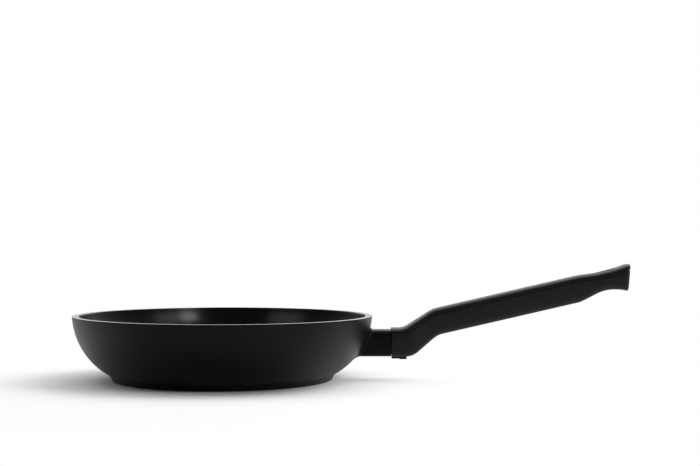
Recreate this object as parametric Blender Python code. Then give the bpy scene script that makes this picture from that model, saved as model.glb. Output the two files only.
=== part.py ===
"""Oval fish pan: a thick aluminium casting with a bare rim and a low tapered foot.

A raised black handle plugs onto a tongue cast on the long side of the pan, where a
sprung press catch under the collar holds it. Sizes are in metres, with the origin at the
centre of the underside, +X towards the handle, +Y along the oval and +Z up.
"""
import math

import bmesh
import bpy
from mathutils import Matrix, Vector

for leftover in list(bpy.data.objects):
    bpy.data.objects.remove(leftover, do_unlink=True)

GAP = 0.0003                    # between pieces that touch on the real pan

# Casting: the oval bowl
PAN_LENGTH = 0.350              # across the rim, along Y
PAN_WIDTH = 0.240               # across the rim, along X
PAN_HEIGHT = 0.051
RIM_THICKNESS = 0.0053
RIM_CHAMFER = 0.0003
WALL_THICKNESS = 0.0045
BASE_THICKNESS = 0.0080
WALL_LEAN = math.radians(4.2)   # of the wall below the rim, from upright
UPPER_PULL = 0.022              # how far the wall keeps that lean
LOWER_RISE = math.radians(27)   # of the wall above the foot, from level
LOWER_PULL = 0.0175             # how far the wall keeps that rise
FLOOR_BLEND = 0.012             # length of the curve from the wall into the floor
FOOT_HEIGHT = 0.0046
FOOT_TOP_INSET = 0.0298         # from the rim's edge to the top of the foot
FOOT_INSET = 0.0320             # from the rim's edge to the edge of the underside

# Steel plate pressed into the underside for induction hobs
BASE_PLATE_THICKNESS = 0.0014
BASE_PLATE_MARGIN = 0.0117      # bare aluminium round the plate
BASE_HOLE_RADIUS = 0.0025
BASE_HOLE_PITCH = 0.0220

# Casting: stub on the wall and the tongue that carries the handle
STUB_REACH = 0.0149             # past the rim's edge
STUB_DROP = 0.0113              # from the rim down to the stub's top at its end
STUB_HEIGHT = 0.0212
STUB_WIDTH = 0.0300
STUB_DRAFT = 0.0010             # how much the top falls from the wall to the end
STUB_EDGE_RADIUS = 0.0040
TONGUE_LENGTH = 0.0180
TONGUE_WIDTH = 0.0200
TONGUE_HEIGHT = 0.0070
TONGUE_LIFT = 0.0064            # above the stub's underside
TONGUE_LEAD = 0.0012            # chamfer round the tongue's tip

# Handle, measured from the collar's front face and underside
COLLAR_HEIGHT = 0.0226
COLLAR_WIDTH = 0.0320
COLLAR_TOP_LENGTH = 0.0099      # to the corner where the top turns up
COLLAR_LOW_LENGTH = 0.0172      # to the corner where the underside turns up
NECK_RUN = 0.0235               # level length of the neck along its top
NECK_RISE = math.radians(33.1)
THROAT_RISE = math.radians(40.7)
GRIP_RISE = math.radians(13.1)
GRIP_DEPTH = 0.0210             # square to the grip
HANDLE_LENGTH = 0.1915          # level, from the collar's front to the tip
NECK_WIDTH = 0.0255
GRIP_WIDTH = 0.0275
TAIL_WIDTH = 0.0330
TAIL_LEAN = 0.0019              # how far the end face undercuts
TAIL_LENGTH = 0.0417            # the shaped end
SCOOP_DEPTH = 0.0057            # hollow under the tail, for a finger
TAIL_DIP = 0.0014               # shallow hollow over the tail
# Corners of the tail: share of its length from the tip, share of the dip or scoop
TAIL_TOP_CORNERS = ((1.0, 0), (0.60, 1.1), (0.28, 0.8), (0.08, 0.1), (-0.2, 0))
TAIL_LOW_CORNERS = ((0.95, 0), (0.48, 1), (0.20, 0.50), (0, -0.08), (-0.2, -0.08))
# Radii of the bends between the straight runs, from the collar to the tip
TOP_BEND_RADII = (0.014, 0.024, 0.060, 0.040, 0.030, 0.020)
LOW_BEND_RADII = (0.016, 0.018, 0.016, 0.030, 0.012, 0.001)
TOP_EDGE_RADIUS = 0.0038
LOW_EDGE_RADIUS = 0.0044
TOP_CROWN = 0.0004
END_ROUND = 0.0010

# Upper shell of the handle
COVER_DEPTH = 0.0046            # square to the grip, from the top to the seam
COVER_START = 0.0116            # from the collar's front
SEAM_GROOVE = 0.0005            # depth and half width of the groove on the seam
BOSS_RADIUS = 0.0042
BOSS_LENGTH = 0.0062
COVER_SCREWS_AT = (0.066, 0.136)
COVER_SCREW_RADIUS = 0.0016
COVER_SCREW_HEAD_RADIUS = 0.0032
COVER_SCREW_HEAD_HEIGHT = 0.0024
COVER_SCREW_SINK = 0.0060       # depth of the counterbore under the grip
COVER_SCREW_BITE = 0.0055       # length inside the boss

# Hanging slot through the tail
SLOT_LENGTH = 0.0200
SLOT_WIDTH = 0.0100
SLOT_FROM_TIP = 0.0205

# Press catch in the collar
CATCH_PROUD = 0.0016            # pad below the collar, and the travel of the catch
CATCH_LENGTH = 0.0125
CATCH_WIDTH = 0.0220
CATCH_PAD_HEIGHT = 0.0032
RIDGE_PROUD = 0.0005
RIDGE_LENGTH = 0.0060
GATE_THICKNESS = 0.0034
GATE_LEG = 0.0026               # beside the tongue
GATE_BAR = 0.0025               # over the tongue
SPRING_RADIUS = 0.0010          # to the middle of the wire
SPRING_WIRE_RADIUS = 0.0002
SPRING_TURNS = 4
SPRING_SPACING = 0.0100
SPRING_SEAT_DEPTH = 0.0021      # bore above the gate's pocket

# Steel plate on the collar's front, which closes the catch's pocket
FACE_PLATE_THICKNESS = 0.0015
FACE_PLATE_BORDER = 0.0014      # collar left round the plate
FACE_SCREW_RADIUS = 0.0008
FACE_SCREW_HEAD_RADIUS = 0.0015
FACE_SCREW_LENGTH = 0.0070
FACE_SCREW_SPACING = 0.0180

RING_POINTS = 72                # round the oval
ROUND_SIDES = 16                # round small turned pieces
HOLE_SIDES = 8                  # round the plate's small holes

# Places that follow from the sizes
stub_end = PAN_WIDTH / 2 + STUB_REACH
stub_top = PAN_HEIGHT - STUB_DROP
stub_low = stub_top - STUB_HEIGHT
tongue_low = TONGUE_LIFT        # from here on in the handle's frame
tongue_top = tongue_low + TONGUE_HEIGHT
notch_depth = CATCH_PROUD - GAP
gate_front = FACE_PLATE_THICKNESS + GAP
gate_back = gate_front + GATE_THICKNESS
bar_low = tongue_top - notch_depth + GAP
bar_top = bar_low + GATE_BAR
window_low = tongue_low - GAP - CATCH_PROUD
pocket_top = bar_top + CATCH_PROUD + GAP
pad_top = CATCH_PAD_HEIGHT - CATCH_PROUD
gate_low = pad_top - GAP        # the gate's shoulders stop on the pocket's floor
recess_top = pad_top + CATCH_PROUD + GAP
gate_half_width = TONGUE_WIDTH / 2 + GAP + GATE_LEG
spring_top = pocket_top + SPRING_SEAT_DEPTH
face_plate_top = COLLAR_HEIGHT - FACE_PLATE_BORDER
face_screw_height = (pocket_top + face_plate_top) / 2
rise = math.tan(GRIP_RISE)


def material(name, colour, roughness, metallic=0.0):
    """A plain Principled finish."""
    finish = bpy.data.materials.new(name)
    finish.use_nodes = True
    shader = finish.node_tree.nodes["Principled BSDF"]
    shader.inputs["Base Color"].default_value = (*colour, 1.0)
    shader.inputs["Roughness"].default_value = roughness
    shader.inputs["Metallic"].default_value = metallic
    return finish


def place(name, bm, finish=None, parent=None, origin=(0, 0, 0)):
    """Turn a bmesh into an object with the given origin, faces out and round parts smooth."""
    bmesh.ops.translate(bm, verts=bm.verts, vec=-Vector(origin))
    bmesh.ops.recalc_face_normals(bm, faces=bm.faces)
    mesh = bpy.data.meshes.new(name)
    bm.to_mesh(mesh)
    bm.free()
    mesh.shade_smooth()
    mesh.set_sharp_from_angle(angle=math.radians(35))
    piece = bpy.data.objects.new(name, mesh)
    piece.location = origin
    piece.parent = parent
    bpy.context.collection.objects.link(piece)
    if finish:
        mesh.materials.append(finish)
    return piece


def loft(rings):
    """A closed body through rings of equally many points, with a flat cap at each end."""
    bm = bmesh.new()
    rows = [[bm.verts.new(point) for point in ring] for ring in rings]
    for row, following in zip(rows, rows[1:]):
        for i in range(len(row)):
            j = (i + 1) % len(row)
            bm.faces.new((row[i], row[j], following[j], following[i]))
    bm.faces.new(rows[0])
    bm.faces.new(rows[-1])
    return bm


def box(low, high):
    """A plain block between two corners."""
    bm = bmesh.new()
    bmesh.ops.create_cube(bm, size=1.0)
    for vertex in bm.verts:
        vertex.co = [low[i] if vertex.co[i] < 0 else high[i] for i in range(3)]
    return bm


def turned(profile, axis=Matrix.Identity(4)):
    """A round piece from (radius, height) points, with its own +Z laid along an axis."""
    turn = [2 * math.pi * i / ROUND_SIDES for i in range(ROUND_SIDES)]
    rings = [[(r * math.cos(a), r * math.sin(a), h) for a in turn] for r, h in profile]
    return loft([[axis @ Vector(point) for point in ring] for ring in rings])


def helper(name, bm, parent=None):
    """A body that only cuts or is fused to another, so it isn't drawn."""
    piece = place(name, bm, parent=parent)
    piece.hide_render = True
    piece.display_type = "WIRE"
    return piece


def combine(piece, operation, name, bm):
    """Cut a helper out of a piece, or fuse it to the piece."""
    modifier = piece.modifiers.new(name, "BOOLEAN")
    modifier.operation = operation
    modifier.object = helper(name, bm, piece.parent)


def rounded_rectangle(x_low, x_high, y_low, y_high, radius, steps=4):
    """Corner points of a rectangle with round corners, anticlockwise."""
    points = []
    for i, (x, y) in enumerate(((x_high, y_high), (x_low, y_high), (x_low, y_low), (x_high, y_low))):
        centre_x = x - radius if x == x_high else x + radius
        centre_y = y - radius if y == y_high else y + radius
        for k in range(steps + 1):
            angle = math.pi / 2 * (i + k / steps)
            points.append((centre_x + radius * math.cos(angle), centre_y + radius * math.sin(angle)))
    return points


def bezier(start, pull_start, pull_end, end, t):
    """A point on a cubic curve."""
    s = 1 - t
    return s**3 * start + 3 * s * s * t * pull_start + 3 * s * t * t * pull_end + t**3 * end


# Pan casting
def oval_ring(inset, height):
    """Points of the oval at a distance inside the rim's edge."""
    half_x, half_y = PAN_WIDTH / 2 - inset, PAN_LENGTH / 2 - inset
    turn = [2 * math.pi * i / RING_POINTS for i in range(RING_POINTS)]
    return [(half_x * math.cos(a), half_y * math.sin(a), height) for a in turn]


def wall_outline(steps=10):
    """Outer wall from the rim to the foot, as (inset, height) points."""
    start = Vector((0, PAN_HEIGHT - RIM_CHAMFER))
    end = Vector((FOOT_TOP_INSET, FOOT_HEIGHT))
    pull_start = start + UPPER_PULL * Vector((math.sin(WALL_LEAN), -math.cos(WALL_LEAN)))
    pull_end = end + LOWER_PULL * Vector((-math.cos(LOWER_RISE), math.sin(LOWER_RISE)))
    return [bezier(start, pull_start, pull_end, end, i / steps) for i in range(steps + 1)]


def inner_outline(outer, steps=4):
    """Inner wall from the rim down, a wall's thickness inside the outer one, and into the floor."""
    points = [Vector((RIM_THICKNESS, PAN_HEIGHT))]
    for i in range(1, len(outer) - 1):
        along = (outer[i + 1] - outer[i - 1]).normalized()
        thickening = (RIM_THICKNESS - WALL_THICKNESS) * (1 - i / len(outer))**3
        point = outer[i] + (WALL_THICKNESS + thickening) * Vector((-along.y, along.x))
        if point.y < BASE_THICKNESS + FLOOR_BLEND / 3:
            break
        points.append(point)
    along = (points[-1] - points[-2]).normalized()
    corner = points[-1] + along * (points[-1].y - BASE_THICKNESS) / -along.y
    floor_edge = corner + Vector((FLOOR_BLEND, 0))
    start = points[-1]
    for i in range(1, steps + 1):
        t = i / steps
        points.append((1 - t)**2 * start + 2 * t * (1 - t) * corner + t * t * floor_edge)
    return points


base_plate_inset = FOOT_INSET + BASE_PLATE_MARGIN
base_recess_depth = BASE_PLATE_THICKNESS + GAP

outer_wall = wall_outline()
section = list(reversed(inner_outline(outer_wall)))
section += [Vector((RIM_CHAMFER, PAN_HEIGHT))] + outer_wall
section += [(FOOT_INSET, 0), (base_plate_inset - GAP, 0), (base_plate_inset - GAP, base_recess_depth)]

coated_aluminium = material("coated_cast_aluminium", (0.012, 0.013, 0.013), 0.42, 0.3)
casting = place("pan_casting", loft([oval_ring(*point) for point in section]), coated_aluminium)


def slab_section(x_low, x_high, z_low, z_high, width, radius, steps=4):
    """Upright section with round edges, which leans where its low and high x differ."""
    outline = rounded_rectangle(-width / 2, width / 2, z_low, z_high, radius, steps)
    reach = (x_high - x_low) / (z_high - z_low)
    return [(x_low + (z - z_low) * reach, y, z) for y, z in outline]


def wall_x(height):
    """Middle of the wall's thickness at a height, on the side of the handle."""
    for upper, lower in zip(outer_wall, outer_wall[1:]):
        if lower.y <= height <= upper.y:
            part = (upper.y - height) / (upper.y - lower.y)
            return PAN_WIDTH / 2 - upper.lerp(lower, part).x - WALL_THICKNESS / 2
    return PAN_WIDTH / 2 - WALL_THICKNESS / 2


root_top = stub_top + STUB_DRAFT
stub_rings = [
    slab_section(wall_x(stub_low), wall_x(root_top), stub_low, root_top, STUB_WIDTH, STUB_EDGE_RADIUS),
    slab_section(stub_end, stub_end, stub_low, stub_top, STUB_WIDTH, STUB_EDGE_RADIUS),
]
combine(casting, "UNION", "stub_block", loft(stub_rings))

tongue_z = (stub_low + tongue_low, stub_low + tongue_top)
tongue_tip = stub_end + GAP + TONGUE_LENGTH
tongue_rings = []
for x, taper in ((stub_end - WALL_THICKNESS, 0), (tongue_tip - TONGUE_LEAD, 0), (tongue_tip, TONGUE_LEAD)):
    low, high = tongue_z[0] + taper / 2, tongue_z[1] - taper
    tongue_rings.append(slab_section(x, x, low, high, TONGUE_WIDTH - 2 * taper, TONGUE_LEAD / 2))
combine(casting, "UNION", "tongue_block", loft(tongue_rings))

notch_low = (stub_end + GAP + gate_front - GAP, -TONGUE_WIDTH, tongue_z[1] - notch_depth)
notch_high = (stub_end + GAP + gate_back + GAP, TONGUE_WIDTH, tongue_z[1] + TONGUE_HEIGHT)
combine(casting, "DIFFERENCE", "catch_notch", box(notch_low, notch_high))

# Induction plate, held by aluminium that fills its holes
def plate_hole_centres():
    """A staggered grid clipped to the plate, with no hole at the centre."""
    half_x = PAN_WIDTH / 2 - base_plate_inset - BASE_HOLE_PITCH / 2
    half_y = PAN_LENGTH / 2 - base_plate_inset - BASE_HOLE_PITCH / 2
    row_pitch = BASE_HOLE_PITCH * math.sqrt(3) / 2
    rows, columns = math.ceil(half_x / row_pitch), math.ceil(half_y / BASE_HOLE_PITCH)
    for i in range(-rows, rows + 1):
        for k in range(-columns, columns + 1):
            x, y = i * row_pitch, (k + i % 2 / 2) * BASE_HOLE_PITCH
            if 0 < math.hypot(x / half_x, y / half_y) <= 1:
                yield x, y


def plate_studs(radius, low, high):
    """A round stud at each of the plate's holes."""
    bm = bmesh.new()
    for x, y in plate_hole_centres():
        spot = Matrix.Translation((x, y, (low + high) / 2))
        bmesh.ops.create_cone(bm, cap_ends=True, segments=HOLE_SIDES, radius1=radius,
                              radius2=radius, depth=high - low, matrix=spot)
    return bm


plate_levels = (0, BASE_PLATE_THICKNESS)
steel = material("ferritic_steel", (0.45, 0.45, 0.46), 0.35, 1.0)
base_plate = place("induction_plate", loft([oval_ring(base_plate_inset, z) for z in plate_levels]), steel)
holes = plate_studs(BASE_HOLE_RADIUS, -BASE_PLATE_THICKNESS, 2 * BASE_PLATE_THICKNESS)
combine(base_plate, "DIFFERENCE", "plate_holes", holes)
studs = plate_studs(BASE_HOLE_RADIUS - GAP, 0, base_recess_depth + BASE_PLATE_THICKNESS)
combine(casting, "UNION", "plate_studs", studs)


# Handle: its side view as bent lines, its plan as a width that changes smoothly
def bent_line(corners, radii, steps=6):
    """Points along straight runs with an arc of the given radius at each inner corner."""
    corners = [Vector(corner) for corner in corners]
    points = [corners[0]]
    for before, corner, after, radius in zip(corners, corners[1:], corners[2:], radii):
        arrive, leave = (corner - before).normalized(), (after - corner).normalized()
        turn = math.atan2(arrive.x * leave.y - arrive.y * leave.x, arrive.dot(leave))
        side = Vector((-arrive.y, arrive.x)) * math.copysign(radius, turn)
        centre = corner - arrive * radius * math.tan(abs(turn) / 2) + side
        points += [centre - Matrix.Rotation(turn * k / steps, 2) @ side for k in range(steps + 1)]
    return points + [corners[-1]]


def height_on(line, x):
    """Height of a bent line at x."""
    for start, end in zip(line, line[1:]):
        if x <= end.x or end is line[-1]:
            return start.y + (end.y - start.y) * (x - start.x) / (end.x - start.x)


def slope_on(line, x, step=0.0005):
    """How much longer a bent line is than its level run, at x."""
    return math.hypot(1, (height_on(line, x + step) - height_on(line, x - step)) / (2 * step))


def meet(point, angle, other, other_angle):
    """Where two straight lines cross."""
    a, b = math.tan(angle), math.tan(other_angle)
    x = (other[1] - point[1] + a * point[0] - b * other[0]) / (a - b)
    return x, point[1] + a * (x - point[0])


knee_top = (COLLAR_TOP_LENGTH + NECK_RUN, COLLAR_HEIGHT + NECK_RUN * math.tan(NECK_RISE))
knee_low = meet((COLLAR_LOW_LENGTH, 0), THROAT_RISE,
                (knee_top[0], knee_top[1] - GRIP_DEPTH / math.cos(GRIP_RISE)), GRIP_RISE)


def off_grip(knee, share_of_tail, offset):
    """A corner of the tail, by its distance from the tip and off the grip's straight edge."""
    x = HANDLE_LENGTH - TAIL_LENGTH * share_of_tail
    return x, knee[1] + (x - knee[0]) * rise + offset


top_line = bent_line(
    [(-STUB_REACH, COLLAR_HEIGHT), (COLLAR_TOP_LENGTH, COLLAR_HEIGHT), knee_top]
    + [off_grip(knee_top, share, -TAIL_DIP * dip) for share, dip in TAIL_TOP_CORNERS], TOP_BEND_RADII)
low_line = bent_line(
    [(-STUB_REACH, 0), (COLLAR_LOW_LENGTH, 0), knee_low]
    + [off_grip(knee_low, share, SCOOP_DEPTH * scoop) for share, scoop in TAIL_LOW_CORNERS], LOW_BEND_RADII)

WIDTHS = (
    (0, COLLAR_WIDTH), (CATCH_LENGTH, COLLAR_WIDTH), (COLLAR_TOP_LENGTH + NECK_RUN, NECK_WIDTH),
    (HANDLE_LENGTH / 2, GRIP_WIDTH), (HANDLE_LENGTH - TAIL_LENGTH, GRIP_WIDTH),
    (HANDLE_LENGTH, TAIL_WIDTH))


def half_width(x):
    """Half of the handle's width, eased between its stated widths."""
    for (start, width), (end, following) in zip(WIDTHS, WIDTHS[1:]):
        if x <= end:
            part = max(0.0, (x - start) / (end - start))
            return (width + (following - width) * part * part * (3 - 2 * part)) / 2
    return TAIL_WIDTH / 2


def seam_height(x):
    """Height of the seam between the handle's two shells."""
    return height_on(top_line, x) - COVER_DEPTH * slope_on(top_line, x)


def side_arc(centre_y, centre_z, radius, radius_z, start, end, steps):
    """Points of a quarter round edge on the handle's +Y side."""
    arc = []
    for k in range(steps + 1):
        angle = math.radians(start + (end - start) * k / steps)
        arc.append((centre_y + radius * math.cos(angle), centre_z + radius_z * math.sin(angle)))
    return arc


def upper_half(x, inset):
    """The +Y edge of the section above the seam, from the seam to the crown."""
    half = half_width(x) - inset
    top = height_on(top_line, x) - inset
    seam = seam_height(x)
    radius_z = TOP_EDGE_RADIUS * slope_on(top_line, x) - inset
    points = [(half - SEAM_GROOVE, seam + GAP / 2), (half, seam + GAP / 2 + SEAM_GROOVE)]
    centre_z = top - TOP_CROWN - radius_z
    points += side_arc(half - TOP_EDGE_RADIUS, centre_z, TOP_EDGE_RADIUS, radius_z, 8, 82, 4)
    return points + [(0, top)]


def lower_half(x, inset):
    """The +Y edge of the section below the seam, from the underside to the seam."""
    half = half_width(x) - inset
    low = height_on(low_line, x) + inset
    seam = seam_height(x)
    radius_z = LOW_EDGE_RADIUS * slope_on(low_line, x)
    points = side_arc(half - LOW_EDGE_RADIUS, low + radius_z, LOW_EDGE_RADIUS, radius_z, -90, 0, 4)
    return points + [(half, seam - GAP / 2 - SEAM_GROOVE), (half - SEAM_GROOVE, seam - GAP / 2)]


def handle_ring(x, half_outline):
    """A whole section from its +Y edge, leaning back a little at the tail."""
    mirrored = [(-y, z) for y, z in reversed(half_outline) if y > 0]
    lean = TAIL_LEAN * max(0.0, (x - HANDLE_LENGTH + TAIL_LENGTH) / TAIL_LENGTH)**2
    low, top = height_on(low_line, x), height_on(top_line, x)
    return [(x - lean * (top - z) / (top - low), y, z) for y, z in half_outline + mirrored]


def spread(start, end, count):
    """Evenly spaced places, without the last."""
    return [start + (end - start) * i / count for i in range(count)]


tail_start = HANDLE_LENGTH - TAIL_LENGTH
bends_end = knee_low[0] + LOW_EDGE_RADIUS * 2
tail_places = spread(tail_start, HANDLE_LENGTH - END_ROUND, 15)
bend_places = spread(COVER_START + GAP / 2, bends_end, 16)
grip_places = spread(bends_end, tail_start, 3)
tail_end = [(HANDLE_LENGTH - END_ROUND, 0), (HANDLE_LENGTH - END_ROUND * 0.3, END_ROUND * 0.3),
            (HANDLE_LENGTH, END_ROUND)]

mount = bpy.data.objects.new("handle_mount", None)
mount.location = (stub_end + GAP, 0, stub_low)
bpy.context.collection.objects.link(mount)

black_plastic = material("black_moulded_plastic", (0.014, 0.014, 0.014), 0.55)
collar_places = [(0, END_ROUND / 2), (END_ROUND / 2, 0)] + [(x, 0) for x in spread(END_ROUND, COVER_START, 4)]
body_places = collar_places + [(x, 0) for x in bend_places + grip_places + tail_places] + tail_end
body_rings = [handle_ring(x, lower_half(x, inset) + upper_half(x, inset)) for x, inset in body_places]
handle_body = place("handle_body", loft(body_rings), black_plastic, mount)

cover_places = [(COVER_START + GAP, 0)] + [(x, 0) for x in bend_places[1:] + grip_places + tail_places]
cover_rings = [handle_ring(x, upper_half(x, inset)) for x, inset in cover_places + tail_end]
handle_cover = place("handle_cover", loft(cover_rings), black_plastic, mount)


def seat_ring(x, station):
    """Section of the space above the seam, wider and taller than the handle."""
    half, seam = COLLAR_WIDTH, seam_height(station) - GAP / 2
    top = height_on(top_line, station) + COLLAR_HEIGHT
    return [(x, half, seam), (x, half, top), (x, -half, top), (x, -half, seam)]


seat_rings = [seat_ring(x, x) for x in [COVER_START] + bend_places[1:] + grip_places + tail_places]
seat_rings += [seat_ring(HANDLE_LENGTH, HANDLE_LENGTH), seat_ring(HANDLE_LENGTH * 1.1, HANDLE_LENGTH)]
combine(handle_body, "DIFFERENCE", "cover_seat", loft(seat_rings))

# Screws that draw the cover down from the grip's underside, into bosses under the cover
blackened_steel = material("blackened_steel", (0.05, 0.05, 0.05), 0.4, 1.0)
boss_low = GRIP_DEPTH - COVER_DEPTH - BOSS_LENGTH
screw_tip = boss_low + COVER_SCREW_BITE
head_low = COVER_SCREW_SINK - COVER_SCREW_HEAD_HEIGHT - GAP
drive_radius = COVER_SCREW_HEAD_RADIUS / 2

for number, x in enumerate(COVER_SCREWS_AT, start=1):
    foot = Matrix.Translation((x, 0, height_on(low_line, x)))
    axis = foot @ Matrix.Rotation(-GRIP_RISE, 4, "Y")
    boss = turned([(BOSS_RADIUS, boss_low), (BOSS_RADIUS, GRIP_DEPTH - COVER_DEPTH / 2)], axis)
    combine(handle_cover, "UNION", f"cover_boss_{number}", boss)
    pilot_radius = COVER_SCREW_RADIUS + GAP
    pilot = turned([(pilot_radius, 0), (pilot_radius, screw_tip + GAP)], axis)
    combine(handle_cover, "DIFFERENCE", f"cover_pilot_{number}", pilot)
    counterbore = COVER_SCREW_HEAD_RADIUS + GAP
    hole = turned([(counterbore, -GRIP_DEPTH), (counterbore, COVER_SCREW_SINK),
                   (pilot_radius, COVER_SCREW_SINK), (pilot_radius, boss_low - GAP),
                   (BOSS_RADIUS + GAP, boss_low - GAP), (BOSS_RADIUS + GAP, GRIP_DEPTH)], axis)
    combine(handle_body, "DIFFERENCE", f"cover_screw_hole_{number}", hole)
    screw = turned([(drive_radius, head_low + COVER_SCREW_HEAD_HEIGHT / 2), (drive_radius, head_low),
                    (COVER_SCREW_HEAD_RADIUS, head_low),
                    (COVER_SCREW_HEAD_RADIUS, head_low + COVER_SCREW_HEAD_HEIGHT),
                    (COVER_SCREW_RADIUS, head_low + COVER_SCREW_HEAD_HEIGHT),
                    (COVER_SCREW_RADIUS, screw_tip)])
    piece = place(f"cover_screw_{number}", screw, blackened_steel, mount)
    piece.matrix_local = axis

# Hanging slot, straight up through both shells
slot_middle = HANDLE_LENGTH - SLOT_FROM_TIP
slot_outline = rounded_rectangle(slot_middle - SLOT_LENGTH / 2, slot_middle + SLOT_LENGTH / 2,
                                 -SLOT_WIDTH / 2, SLOT_WIDTH / 2, SLOT_WIDTH / 2)
slot_levels = (0, knee_top[1] + HANDLE_LENGTH)
for shell, name in ((handle_body, "slot_in_body"), (handle_cover, "slot_in_cover")):
    combine(shell, "DIFFERENCE", name, loft([[(x, y, z) for x, y in slot_outline] for z in slot_levels]))

# Socket for the tongue and pocket for the catch, open at the collar's front and underside
socket_half = TONGUE_WIDTH / 2 + GAP
socket = box((-GAP, -socket_half, tongue_low - GAP), (TONGUE_LENGTH + GAP, socket_half, tongue_top + GAP))
combine(handle_body, "DIFFERENCE", "tongue_socket", socket)
pocket_half = gate_half_width + GAP
pocket = box((-GAP, -pocket_half, gate_low - GAP), (gate_back + GAP, pocket_half, pocket_top))
combine(handle_body, "DIFFERENCE", "gate_pocket", pocket)


def pad_outline(x_low, x_high, width, inset, radius=0.0015):
    """Plan of the catch's pad, with round corners."""
    return rounded_rectangle(x_low + inset, x_high - inset, inset - width / 2, width / 2 - inset, radius)


def slab(x_low, x_high, width, levels):
    """A flat pad through (height, inset) levels."""
    return loft([[(x, y, z) for x, y in pad_outline(x_low, x_high, width, inset)] for z, inset in levels])


recess_levels = ((-COLLAR_HEIGHT, 0), (recess_top, 0))
recess = slab(-CATCH_LENGTH, CATCH_LENGTH + GAP, CATCH_WIDTH + 2 * GAP, recess_levels)
combine(handle_body, "DIFFERENCE", "pad_recess", recess)

# Press catch: a gate round the tongue with a bar in its notch, on a pad for the finger
gate_middle = (gate_front + gate_back) / 2
gate = box((gate_front, -gate_half_width, gate_low), (gate_back, gate_half_width, bar_top))
catch = place("release_catch", gate, black_plastic, mount, (gate_middle, 0, gate_low))
window = box((-GAP, -socket_half, window_low), (gate_back + GAP, socket_half, bar_low))
combine(catch, "DIFFERENCE", "gate_window", window)
pad_edge = CATCH_PROUD / 4
pad_levels = ((pad_top, 0), (-CATCH_PROUD + pad_edge, 0), (-CATCH_PROUD, pad_edge))
combine(catch, "UNION", "catch_pad", slab(GAP, CATCH_LENGTH, CATCH_WIDTH, pad_levels))
ridge_levels = ((0, 0), (-CATCH_PROUD, 0), (-CATCH_PROUD - RIDGE_PROUD, RIDGE_PROUD))
ridge = slab(CATCH_LENGTH - RIDGE_LENGTH, CATCH_LENGTH - GAP, CATCH_WIDTH - 2 * GAP, ridge_levels)
combine(catch, "UNION", "catch_ridge", ridge)

# Springs between the gate's bar and the roofs of their bores
def coil(radius, low, high, turns, points_per_turn=8, level_share=0.08):
    """A helix with a short level stretch at each end."""
    total = turns * points_per_turn
    for i in range(total + 1):
        angle = 2 * math.pi * i / points_per_turn
        part = min(1.0, max(0.0, (i / total - level_share) / (1 - 2 * level_share)))
        yield radius * math.cos(angle), radius * math.sin(angle), low + (high - low) * part


def spring(name, y):
    """One compression spring of the catch, in its own bore."""
    curve = bpy.data.curves.new(name, "CURVE")
    curve.dimensions = "3D"
    curve.bevel_depth = SPRING_WIRE_RADIUS
    curve.bevel_resolution = 1
    curve.use_fill_caps = True
    low = bar_top + GAP + SPRING_WIRE_RADIUS
    high = spring_top - GAP - SPRING_WIRE_RADIUS
    turn_points = list(coil(SPRING_RADIUS, low, high, SPRING_TURNS))
    spline = curve.splines.new("POLY")
    spline.points.add(len(turn_points) - 1)
    for point, turn_point in zip(spline.points, turn_points):
        point.co = (*turn_point, 1)
    curve.materials.append(spring_steel)
    piece = bpy.data.objects.new(name, curve)
    piece.parent = mount
    piece.location = (gate_middle, y, 0)
    bpy.context.collection.objects.link(piece)


spring_steel = material("spring_steel", (0.4, 0.4, 0.4), 0.3, 1.0)
spring_bore_radius = SPRING_RADIUS + SPRING_WIRE_RADIUS + GAP
for number, y in enumerate((SPRING_SPACING / 2, -SPRING_SPACING / 2), start=1):
    spring(f"catch_spring_{number}", y)
    bore = turned([(spring_bore_radius, pocket_top - GAP), (spring_bore_radius, spring_top)],
                  Matrix.Translation((gate_middle, y, 0)))
    combine(handle_body, "DIFFERENCE", f"spring_bore_{number}", bore)

# Face plate let into the collar's front, with a window for the tongue
plate_half = COLLAR_WIDTH / 2 - FACE_PLATE_BORDER
plate_low = recess_top + GAP


def plate_ring(x, gap):
    """Outline of the face plate, or of its seat where gap is more than nothing."""
    low, high = plate_low - gap, face_plate_top + gap
    return slab_section(x, x, low, high, 2 * (plate_half + gap), TOP_EDGE_RADIUS / 2)


face_plate = place("face_plate", loft([plate_ring(0, 0), plate_ring(FACE_PLATE_THICKNESS, 0)]), steel, mount)
combine(face_plate, "DIFFERENCE", "face_plate_window",
        box((-GAP, -socket_half, tongue_low - GAP), (gate_front, socket_half, tongue_top + GAP)))
combine(handle_body, "DIFFERENCE", "face_plate_seat",
        loft([plate_ring(-GAP, GAP), plate_ring(gate_front, GAP)]))

for number, y in enumerate((FACE_SCREW_SPACING / 2, -FACE_SCREW_SPACING / 2), start=1):
    axis = Matrix.Translation((0, y, face_screw_height)) @ Matrix.Rotation(math.pi / 2, 4, "Y")
    cone = [(FACE_SCREW_HEAD_RADIUS, 0), (FACE_SCREW_RADIUS, FACE_SCREW_HEAD_RADIUS - FACE_SCREW_RADIUS)]
    screw = turned(cone + [(FACE_SCREW_RADIUS, FACE_SCREW_LENGTH)])
    piece = place(f"face_screw_{number}", screw, blackened_steel, mount)
    piece.matrix_local = axis
    wider = [(radius + GAP, height) for radius, height in cone]
    countersink = turned([(wider[0][0], -GAP)] + wider + [(wider[1][0], FACE_SCREW_LENGTH + GAP)], axis)
    combine(face_plate, "DIFFERENCE", f"countersink_{number}", countersink)
    pilot_radius = FACE_SCREW_RADIUS + GAP
    pilot = turned([(pilot_radius, 0), (pilot_radius, FACE_SCREW_LENGTH + GAP)], axis)
    combine(handle_body, "DIFFERENCE", f"face_pilot_{number}", pilot)
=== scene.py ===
"""Dresses the oval fish pan: coated casting, induction plate, black handle, press catch and screws."""
import math

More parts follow.
